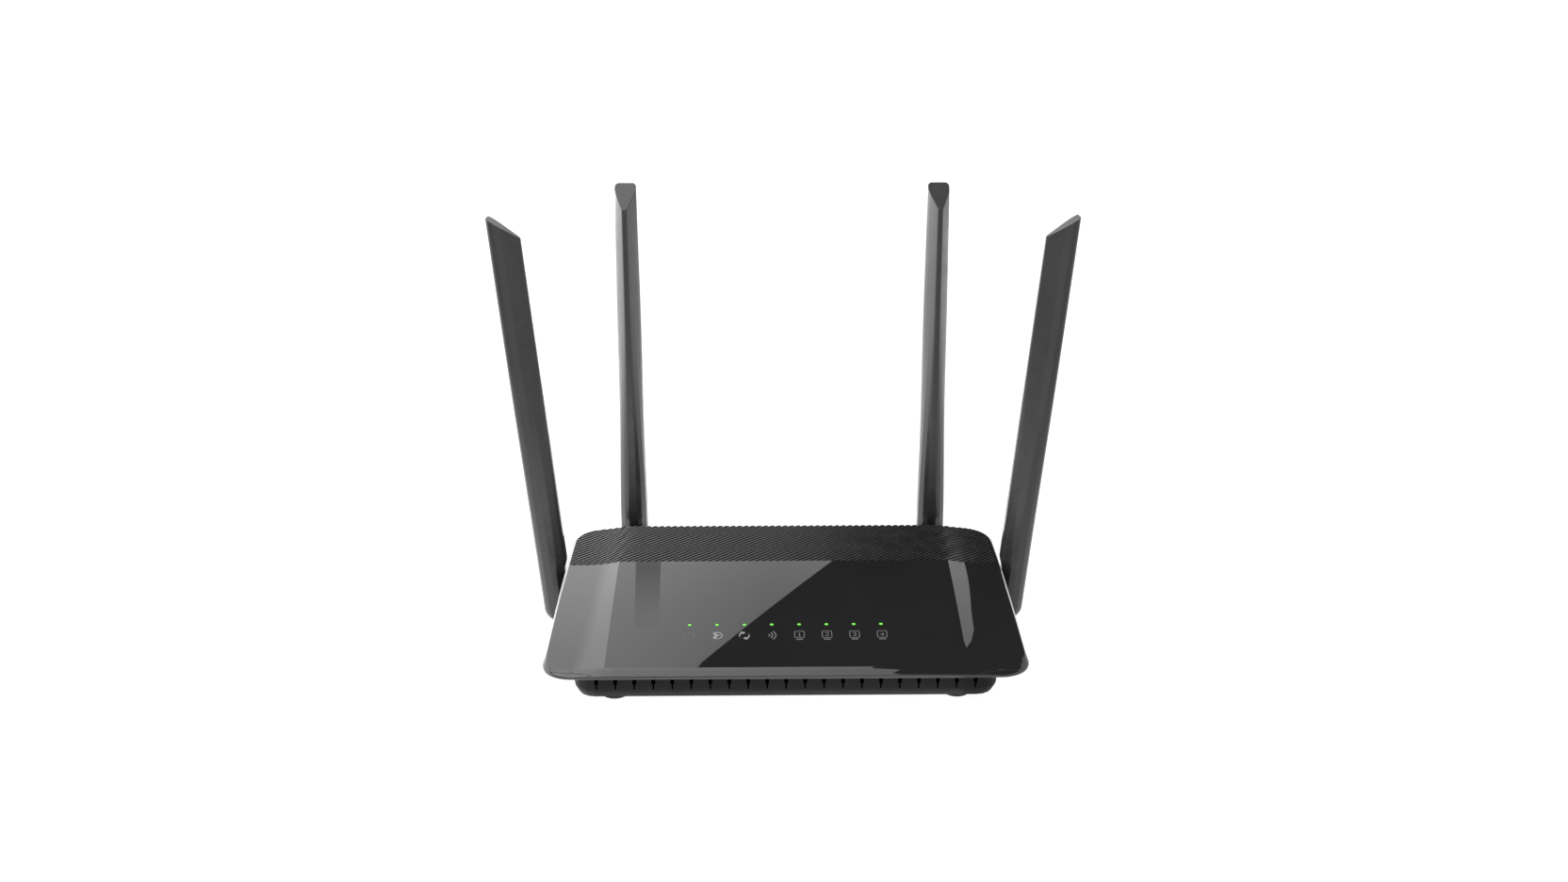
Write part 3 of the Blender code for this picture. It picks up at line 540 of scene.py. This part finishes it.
STATIONS = (-1.0, -0.8, -0.4, 0.1, 0.55, 0.85, 1.0)
SHIELD = (0.2, 0.33, 0.56, 0.82, 1.0, 0.98, 0.76)
ROUND = (0.3, 0.62, 0.93, 1.0, 0.88, 0.6, 0.32)
BLADE_EDGE = (0.3, 0.12)  # how far each pass of corner cutting reaches, which rounds the creases a little


def blade_thickness(z):
    share = min(max((z - 28) / (BLADE_HIGH - 28), 0), 1)
    return BLADE_ROOT + (BLADE_TIP - BLADE_ROOT) * share


def blade_section(half, z, thickness, inset=0.0, drop=None):
    """Points round the blade at one height; with a drop, that far below the slanted cut."""
    shield = smooth((z - 15) / 110)
    back = BLADE_SETBACK * smooth((22 - z) / 5)
    side = []
    for station, broad, round_ in zip(STATIONS, SHIELD, ROUND):
        y = station * (half - inset)
        if y < 0:
            y *= 1 - back / BLADE_HALF
        x = max(thickness * (broad * shield + round_ * (1 - shield)) - inset, 0.1)
        side.append((x, y))
    loop = side + [(-x, y) for x, y in reversed(side)]
    for reach in BLADE_EDGE:
        cut = []
        for a, b in zip(loop, loop[1:] + loop[:1]):
            length = math.hypot(b[0] - a[0], b[1] - a[1])
            share = min(reach / length, 0.3) if length else 0.3
            cut.append((a[0] + (b[0] - a[0]) * share, a[1] + (b[1] - a[1]) * share))
            cut.append((b[0] + (a[0] - b[0]) * share, b[1] + (a[1] - b[1]) * share))
        loop = cut
    points = []
    for x, y in loop:
        height = z
        if drop is not None:
            height = BLADE_LOW + (BLADE_HIGH - BLADE_LOW) * (y / BLADE_HALF + 1) / 2 - drop
        points.append((x, y, height))
    return points


def blade_mesh(material):
    bm = bmesh.new()
    rings = []
    for k in range(1, 11):
        a = math.pi / 2 * k / 10
        rings.append(blade_section(BLADE_HALF * math.sin(a), -BLADE_ROOT * math.cos(a),
                                   BLADE_ROOT * (0.7 + 0.3 * math.sin(a))))
    for z in (3, 6, 9, 12, 15, 17, 18.2, 19.5, 20.8, 22, 25, 28, *range(34, 160, 6)):
        rings.append(blade_section(BLADE_HALF, z, blade_thickness(z)))
    for inset, drop in ((0, 0.2), (0.06, 0.06), (0.2, 0.0)):
        rings.append(blade_section(BLADE_HALF, BLADE_HIGH, BLADE_TIP, inset, drop))
    previous = [bm.verts.new(p) for p in rings[0]]
    bm.faces.new(previous)
    for points in rings[1:]:
        following = [bm.verts.new(p) for p in points]
        ring_bridge(bm, previous, following)
        previous = following
    bm.faces.new(previous)
    blade = new_object("blade", bm, material, 35)
    cutters = []
    slot = bmesh.new()
    add_box(slot, (-FORK_HALF, -9, -9), (FORK_HALF, 9, FORK_ROOF))
    pocket = bmesh.new()
    add_box(pocket, (-1.4, -3.4, 0), (1.4, 3.4, 152))
    hole = bmesh.new()
    add_rod(hole, (-9, 0, 0), (9, 0, 0), PIN_HOLE)
    for name, helper in (("slot", slot), ("pocket", pocket), ("hole", hole)):
        cutters.append(new_object(name, helper, None))
    apply_cut(blade, *cutters)
    blade.data.set_sharp_from_angle(angle=math.radians(35))
    mesh = blade.data
    bpy.data.objects.remove(blade)
    return mesh


def make_blades(material):
    mesh = blade_mesh(material)
    for name, turn, lean in (("rear_left", 0, 0), ("rear_right", 0, 0), ("side_left", 90, SIDE_LEAN),
                             ("side_right", -90, SIDE_LEAN)):
        low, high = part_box(name + "_hinge_pin")
        place = (
            Matrix.Translation((low + high) / 2)
            @ Matrix.Rotation(math.radians(turn), 4, "Z")
            @ Matrix.Rotation(-math.radians(lean), 4, "X")
        )
        copy = mesh.copy()
        copy.transform(place)
        piece = bpy.data.objects.new(name + "_antenna_blade", copy)
        bpy.context.scene.collection.objects.link(piece)
        normals = piece.modifiers.new("flat_facets", "WEIGHTED_NORMAL")
        normals.keep_sharp = True
        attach(piece, name + "_antenna")
        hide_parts(name + "_blade")
        piece.visible_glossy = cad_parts[name + "_radiator"].visible_glossy = False


# Finished copies of CAD nodes: welded, with softened edges


def soften_node(node, name, width, slot, sharp=30, body="case"):
    """Stands for a CAD node with the same shape, its hard edges rounded by width millimetres."""
    bm = bmesh.new()
    bm.from_mesh(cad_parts[node].data)
    bmesh.ops.remove_doubles(bm, verts=bm.verts, dist=2e-6)
    bmesh.ops.dissolve_limit(bm, angle_limit=math.radians(0.5), verts=bm.verts, edges=bm.edges)
    mesh = bpy.data.meshes.new(name)
    bm.to_mesh(mesh)
    bm.free()
    mesh.materials.append(MATERIALS[slot])
    mesh.shade_smooth()
    mesh.set_sharp_from_angle(angle=math.radians(sharp))
    obj = bpy.data.objects.new(name, mesh)
    bpy.context.scene.collection.objects.link(obj)
    if width:
        bevel = obj.modifiers.new("soft_edges", "BEVEL")
        bevel.width = width * MM
        bevel.segments = 2
        bevel.limit_method = "ANGLE"
        bevel.angle_limit = math.radians(40)
        bevel.harden_normals = False
    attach(obj, body)
    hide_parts(node)
    return obj


# Rear details: numerals over the ports, and the spring contacts inside them

REAR_FACE = 54.6
MARKS_Z = 22.6
PORT_FIRST = 41.5
PORT_PITCH = 16.2
WAN_PORT = -28.0
PORT_MIDDLE = 14.0
CONTACTS = 8
CONTACT_PITCH = 1.02
CONTACT_HALF = 0.2
CONTACT_DROP = 3.55  # from the port's middle to the contacts' feet


def on_rear(u, v, lift):
    """A point of the rear print: u to the right as seen from behind, v up."""
    return (-u, REAR_FACE + lift, MARKS_Z + v)


def make_rear_print():
    marks = Print(on_rear)
    for number in range(1, 5):
        numeral(marks, number, (number - 1) * PORT_PITCH - PORT_FIRST, 0, 0.8, 0.28)
    marks.arc((-WAN_PORT, 0), 0.9, 0, 360, 0.25, 20)
    marks.stroke([(-WAN_PORT - 0.9, 0), (-WAN_PORT + 0.9, 0)], 0.22)
    piece = marks.finish("rear_port_marks", MATERIALS["print_pale"])
    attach(piece, "case")


def make_contacts():
    """Eight bent springs on the floor of every port."""
    bm = bmesh.new()
    ports = [PORT_FIRST - k * PORT_PITCH for k in range(4)] + [WAN_PORT]
    for port in ports:
        for k in range(CONTACTS):
            x = port + (k - (CONTACTS - 1) / 2) * CONTACT_PITCH
            low = PORT_MIDDLE - CONTACT_DROP
            side = [(44.0, low), (44.0, low + 2.6), (51.5, low + 0.75), (52.2, low + 0.2), (52.2, low)]
            faces = [[bm.verts.new((x + w, y, z)) for y, z in side] for w in (-CONTACT_HALF, CONTACT_HALF)]
            bm.faces.new(faces[0])
            bm.faces.new(list(reversed(faces[1])))
            ring_bridge(bm, faces[0], faces[1])
    piece = shift_to_row(new_object("port_contacts", bm, MATERIALS["contact_gold"]))
    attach(piece, "case")


# Materials


class Surface:
    """A node material about one Principled shader, with helpers for its texture nodes."""

    def __init__(self, name, color, roughness, metallic=0.0, specular=0.5, ior=1.5):
        self.material = bpy.data.materials.new(name)
        self.material.use_nodes = True
        self.nodes = self.material.node_tree.nodes
        self.links = self.material.node_tree.links
        self.shader = self.nodes["Principled BSDF"]
        self.set("Base Color", (*color, 1))
        self.set("Roughness", roughness)
        self.set("Metallic", metallic)
        self.set("Specular IOR Level", specular)
        self.set("IOR", ior)
        self.place = self.nodes.new("ShaderNodeTexCoord").outputs["Object"]
        self.color, self.roughness = color, roughness
        self.height = None

    def set(self, socket, value):
        self.shader.inputs[socket].default_value = value

    def noise(self, scale, detail=3.0, stretch=None, distortion=0.0):
        node = self.nodes.new("ShaderNodeTexNoise")
        node.inputs["Scale"].default_value = scale
        node.inputs["Detail"].default_value = detail
        node.inputs["Distortion"].default_value = distortion
        source = self.place
        if stretch:
            mapping = self.nodes.new("ShaderNodeMapping")
            mapping.inputs["Scale"].default_value = stretch
            self.links.new(source, mapping.inputs["Vector"])
            source = mapping.outputs["Vector"]
        self.links.new(source, node.inputs["Vector"])
        return node.outputs["Fac"]

    def spread(self, value, low, high, start=0.3, end=0.7):
        node = self.nodes.new("ShaderNodeMapRange")
        for socket, number in (("From Min", start), ("From Max", end), ("To Min", low), ("To Max", high)):
            node.inputs[socket].default_value = number
        self.links.new(value, node.inputs["Value"])
        return node.outputs["Result"]

    def worn_edges(self, radius=0.35):
        """High on edges and corners, from how a rounded normal differs from the face's own."""
        bevel = self.nodes.new("ShaderNodeBevel")
        bevel.inputs["Radius"].default_value = radius * MM
        geometry = self.nodes.new("ShaderNodeNewGeometry")
        dot = self.nodes.new("ShaderNodeVectorMath")
        dot.operation = "DOT_PRODUCT"
        self.links.new(bevel.outputs["Normal"], dot.inputs[0])
        self.links.new(geometry.outputs["Normal"], dot.inputs[1])
        return self.spread(dot.outputs["Value"], 1.0, 0.0, 0.8, 0.99)

    def mix(self, factor, first, second):
        node = self.nodes.new("ShaderNodeMix")
        node.data_type = "RGBA"
        self.links.new(factor, node.inputs["Factor"])
        for socket, value in ((node.inputs["A"], first), (node.inputs["B"], second)):
            if isinstance(value, tuple):
                socket.default_value = (*value, 1)
            else:
                self.links.new(value, socket)
        return node.outputs["Result"]

    def mottle(self, scale, amount, wear=0.0, wear_color=None):
        """Uneven colour, and lighter worn edges."""
        dark = tuple(c * (1 - amount) for c in self.color)
        light = tuple(min(c * (1 + amount), 1) for c in self.color)
        color = self.mix(self.spread(self.noise(scale), 0, 1), dark, light)
        if wear:
            multiply = self.nodes.new("ShaderNodeMath")
            multiply.operation = "MULTIPLY"
            self.links.new(self.worn_edges(), multiply.inputs[0])
            self.links.new(self.spread(self.noise(scale * 7), 0.3 * wear, wear), multiply.inputs[1])
            worn = wear_color or tuple(min(c * 3 + 0.02, 1) for c in self.color)
            color = self.mix(multiply.outputs["Value"], color, worn)
        self.links.new(color, self.shader.inputs["Base Color"])
        return self

    def vary_roughness(self, scale, amount, stretch=None):
        value = self.spread(self.noise(scale, 4, stretch), self.roughness - amount, self.roughness + amount)
        self.links.new(value, self.shader.inputs["Roughness"])
        return self

    def bump(self, value, depth, strength=1.0):
        """Adds a height texture; depth is in millimetres."""
        node = self.nodes.new("ShaderNodeBump")
        node.inputs["Strength"].default_value = strength
        node.inputs["Distance"].default_value = depth * MM
        self.links.new(value, node.inputs["Height"])
        if self.height:
            self.links.new(self.height, node.inputs["Normal"])
        self.height = node.outputs["Normal"]
        self.links.new(self.height, self.shader.inputs["Normal"])
        return self

    def grain(self, scale, depth, detail=2.0, stretch=None):
        return self.bump(self.noise(scale, detail, stretch), depth)


def moulded(name, color, roughness, grain=2600, depth=0.012, specular=0.5, wear=0.5):
    surface = Surface(name, color, roughness, specular=specular)
    surface.mottle(45, 0.14, wear).vary_roughness(160, 0.05).grain(grain, depth)
    return surface.material


def make_materials():
    made = {}
    gloss = Surface("gloss_black_lacquer", (0.0205, 0.0205, 0.021), 0.012, ior=1.5)
    gloss.mottle(30, 0.08).vary_roughness(220, 0.006).grain(90, 0.0004)
    made["gloss_black"] = gloss.material
    made["rib_black"] = moulded("rib_black_satin", (0.016, 0.016, 0.017), 0.25, 3000, 0.004, wear=0.3)
    made["case_black"] = moulded("case_black_texture", (0.0085, 0.0085, 0.009), 0.6, 2200, 0.02, 0.12)
    made["antenna_black"] = moulded("antenna_black_satin", (0.018, 0.018, 0.019), 0.27, 3200, 0.004)
    made["rubber"] = moulded("rubber_black", (0.014, 0.014, 0.014), 0.82, 1500, 0.03, 0.3, 0.2)
    label = Surface("label_paper", (0.72, 0.72, 0.7), 0.55)
    made["label"] = label.mottle(60, 0.05).vary_roughness(300, 0.06).grain(1800, 0.004).material
    board = Surface("board_mask", (0.008, 0.05, 0.02), 0.35)
    made["board_green"] = board.mottle(700, 0.35).vary_roughness(400, 0.08).grain(900, 0.01).material
    for slot, color, roughness, stretch in (
        ("tin_plate", (0.6, 0.6, 0.58), 0.33, (1, 12, 1)),
        ("steel", (0.5, 0.5, 0.51), 0.28, (1, 1, 14)),
        ("aluminium", (0.62, 0.63, 0.64), 0.38, (12, 1, 1)),
        ("copper", (0.72, 0.36, 0.18), 0.32, (1, 1, 10)),
        ("contact_gold", (0.83, 0.6, 0.24), 0.25, (1, 10, 1)),
    ):
        metal = Surface(slot + "_brushed", color, roughness, 1.0)
        metal.mottle(80, 0.1).vary_roughness(500, 0.1, stretch).grain(900, 0.005, 2, stretch)
        made[slot] = metal.material
    made["jack_yellow"] = moulded("jack_yellow_plastic", (0.66, 0.42, 0.02), 0.42, 2500, 0.01, wear=0.3)
    made["jack_black"] = moulded("jack_black_plastic", (0.02, 0.02, 0.021), 0.42, 2500, 0.01)
    made["part_black"] = moulded("part_black_plastic", (0.022, 0.022, 0.023), 0.45, 2500, 0.01)
    made["button_grey"] = moulded("button_grey_plastic", (0.075, 0.075, 0.08), 0.4, 2500, 0.01)
    made["cable_grey"] = moulded("cable_grey_jacket", (0.1, 0.1, 0.1), 0.5, 2000, 0.01, wear=0.1)
    lens = Surface("lens_green", (0.1, 0.5, 0.05), 0.18)
    glow = lens.mix(lens.spread(lens.noise(2500), 0, 1), (0.1, 0.62, 0.03), (0.2, 0.85, 0.07))
    lens.links.new(glow, lens.shader.inputs["Emission Color"])
    lens.set("Emission Strength", 0.9)
    made["light_guide"] = lens.mottle(900, 0.2).grain(1200, 0.01).material
    for name, color in (("print_grey", (0.17, 0.175, 0.175)), ("print_pale", (0.33, 0.34, 0.34))):
        ink = Surface(name, color, 0.5, specular=0.2)
        made[name] = ink.mottle(900, 0.12).vary_roughness(800, 0.08).grain(2600, 0.004).material
    return made


# Studio


def stage_material(name, strength, color=(1, 1, 1)):
    material = bpy.data.materials.new(name)
    material.use_nodes = True
    nodes = material.node_tree.nodes
    nodes.clear()
    out = nodes.new("ShaderNodeOutputMaterial")
    emission = nodes.new("ShaderNodeEmission")
    emission.inputs["Color"].default_value = (*color, 1)
    emission.inputs["Strength"].default_value = strength
    material.node_tree.links.new(emission.outputs["Emission"], out.inputs["Surface"])
    return material, nodes, emission


def card(name, corners, strength, far_strength=None, span=None, axis="X"):
    """A flat panel of the studio, whose light can change evenly along an axis between the places in span."""
    bm = bmesh.new()
    bm.faces.new([bm.verts.new(p) for p in corners])
    mesh = bpy.data.meshes.new(name)
    bm.to_mesh(mesh)
    bm.free()
    material, nodes, emission = stage_material(name + "_light", strength)
    if far_strength is not None:
        links = material.node_tree.links
        place = nodes.new("ShaderNodeTexCoord")
        split = nodes.new("ShaderNodeSeparateXYZ")
        ramp = nodes.new("ShaderNodeMapRange")
        ramp.inputs["From Min"].default_value, ramp.inputs["From Max"].default_value = span
        ramp.inputs["To Min"].default_value, ramp.inputs["To Max"].default_value = strength, far_strength
        links.new(place.outputs["Object"], split.inputs[0])
        links.new(split.outputs[axis], ramp.inputs["Value"])
        links.new(ramp.outputs["Result"], emission.inputs["Strength"])
    mesh.materials.append(material)
    obj = bpy.data.objects.new(name, mesh)
    bpy.context.scene.collection.objects.link(obj)
    obj.visible_camera = obj.visible_diffuse = obj.visible_shadow = False
    return obj


STUDIO_BACK = 1.0
STUDIO_FRONT = -0.3
STUDIO_TOP = 1.5
STUDIO_HALF = 0.9


def upright_card(name, y, low, high, strength):
    """A rectangular card that faces along Y, between two (x, z) corners."""
    (x0, z0), (x1, z1) = low, high
    card(name, [(x0, y, z0), (x1, y, z0), (x1, y, z1), (x0, y, z1)], strength)


def back_card(name, outline, *light, y=STUDIO_BACK):
    """A card behind the object with an outline of (x, z) points."""
    card(name, [(x, y, z) for x, z in outline], *light)


def make_studio():
    world = bpy.data.worlds.new("studio")
    bpy.context.scene.world = world
    world.use_nodes = True
    background = world.node_tree.nodes["Background"]
    background.inputs["Color"].default_value = (1, 1, 1, 1)
    background.inputs["Strength"].default_value = 1.0

    bm = bmesh.new()
    bmesh.ops.create_grid(bm, x_segments=8, y_segments=8, size=9.0)
    floor_mesh = bpy.data.meshes.new("floor")
    bm.to_mesh(floor_mesh)
    bm.free()
    floor = bpy.data.objects.new("floor", floor_mesh)
    bpy.context.scene.collection.objects.link(floor)
    surface = Surface("pale_floor", (0.25, 0.25, 0.25), 0.7, specular=0.1)
    surface.mottle(3, 0.01)
    surface.set("Emission Color", (1, 1, 1, 1))
    surface.set("Emission Strength", 0.93)
    floor_mesh.materials.append(surface.material)

    # Only reflections show the cards. The edges shared by the left cards and the dark flag are listed once.
    left_edge = [(-0.205, 0.72), (-0.235, 0.95), (-0.235, 1.4)]
    slant = [(0.072, 0.72), (-0.094, 1.275)]
    flag_edge = [(0.349, 0.35), (0.349, 0.681), (0.4, 0.88), (0.418, 1.0), (0.45, 1.065), (0.6, 1.2),
                 (0.75, 1.5)]
    back_card("left_softbox", [(-0.205, 0.5), *slant, (-0.13, 1.4), *reversed(left_edge)],
              2.2, 1.4, (-0.21, 0.0))
    back_card("left_bright_box", [(-STUDIO_HALF, 0.5), (-0.205, 0.5), *left_edge, (-STUDIO_HALF, 1.4)],
              3.4, 2.7, (-0.37, -0.31))
    back_card("soft_strip", [(-0.149, 0.6), (-0.121, 0.6), (-0.142, 1.054), (-0.173, 1.054)],
              0.95, 1.85, (0.75, 1.0), "Z", y=0.99)
    back_card("right_flag", [slant[0], (0.06, 0.35), *flag_edge, (-0.13, 1.5), slant[1]], 0.0)
    upright_card("right_softbox", 1.02, (0.3, 0.5), (STUDIO_HALF, 1.35), 1.5)
    upright_card("low_right_flag", STUDIO_BACK, (0.12, 0.0), (STUDIO_HALF, 0.33), 0.0)
    upright_card("low_left_card", STUDIO_BACK, (-STUDIO_HALF, 0.0), (-0.14, 0.33), 4.0)
    upright_card("front_strip", STUDIO_FRONT, (-0.065, 0.0), (0.065, 0.25), 1.2)
    upright_card("front_left_flag", STUDIO_FRONT, (-0.5, 0.0), (-0.065, 0.25), 0.8)
    upright_card("front_right_flag", STUDIO_FRONT, (0.065, 0.0), (0.5, 0.25), 0.8)
    side, top = STUDIO_HALF, STUDIO_TOP
    seam = [(0.25, -0.6, top), (0.11, 0.98, top)]
    card("top_flag", [seam[1], seam[0], (side, -0.6, top), (side, 0.98, top)], 0.0)
    card("top_softbox", [(-side, -0.6, top), *seam, (-side, 0.98, top)], 3.4, 2.0, (-0.3, 0.15))
    wall = [(-0.2, 0.0), (STUDIO_BACK, 0.0), (STUDIO_BACK, 1.4), (-0.2, 1.4)]
    card("left_wall", [(-side, y, z) for y, z in wall], 3.2)
    far, edge = 4.0, slant[0][0] - 0.001
    glow = [(-far, -far), (edge, -far), (edge, far), (-far, far)]
    card("floor_glow", [(x, y, 0.0004) for x, y in glow], 2.0)


def make_camera():
    data = bpy.data.cameras.new("camera")
    data.lens = 37.86
    data.sensor_width = 36
    data.clip_start, data.clip_end = 0.02, 60
    camera = bpy.data.objects.new("camera", data)
    camera.location = (-0.0090, -0.645225, 0.3030)
    camera.rotation_euler = (math.radians(71.76), 0, math.radians(-0.79))
    bpy.context.scene.collection.objects.link(camera)
    bpy.context.scene.camera = camera
    bpy.context.scene.view_settings.view_transform = "Standard"


MATERIALS = make_materials()
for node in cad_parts.values():
    for slot in node.material_slots:
        name = slot.material.name.split(".")[0] if slot.material else ""
        if name in MATERIALS:
            slot.material = MATERIALS[name]

cover = make_cover(MATERIALS["gloss_black"])
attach(cover, "case")
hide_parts("top_cover")

band = make_band(MATERIALS["rib_black"])
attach(band, "case")
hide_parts("ribbed_insert")

lenses = make_lenses(MATERIALS["light_guide"])
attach(lenses, "case")
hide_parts("light_guide")

icons = make_icons(MATERIALS["print_grey"], MATERIALS["print_pale"])
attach(icons, "case")

make_blades(MATERIALS["antenna_black"])

soften_node("bottom_case", "textured_base", 0.25, "case_black")
soften_node("rear_panel", "rear_plate", 0.25, "case_black")
soften_node("wan_jack", "wan_socket", 0.15, "jack_yellow")
soften_node("power_jack", "power_inlet", 0.15, "part_black")
for number in range(1, 5):
    soften_node(f"lan_jack_{number}", f"lan_socket_{number}", 0.15, "jack_black")
    soften_node(f"foot_{number}", f"rubber_foot_{number}", 0.3, "rubber")
    soften_node(f"case_screw_{number}", f"case_screw_head_{number}", 0.1, "steel")
for button in ("power_button", "wps_button"):
    soften_node(button, button + "_cap", 0.2, "button_grey", body=button)
for name in ("rear_left", "rear_right", "side_left", "side_right"):
    soften_node(name + "_swivel", name + "_knuckle", 0.25, "antenna_black", body=name + "_base")
make_contacts()
make_rear_print()

make_studio()
make_camera()
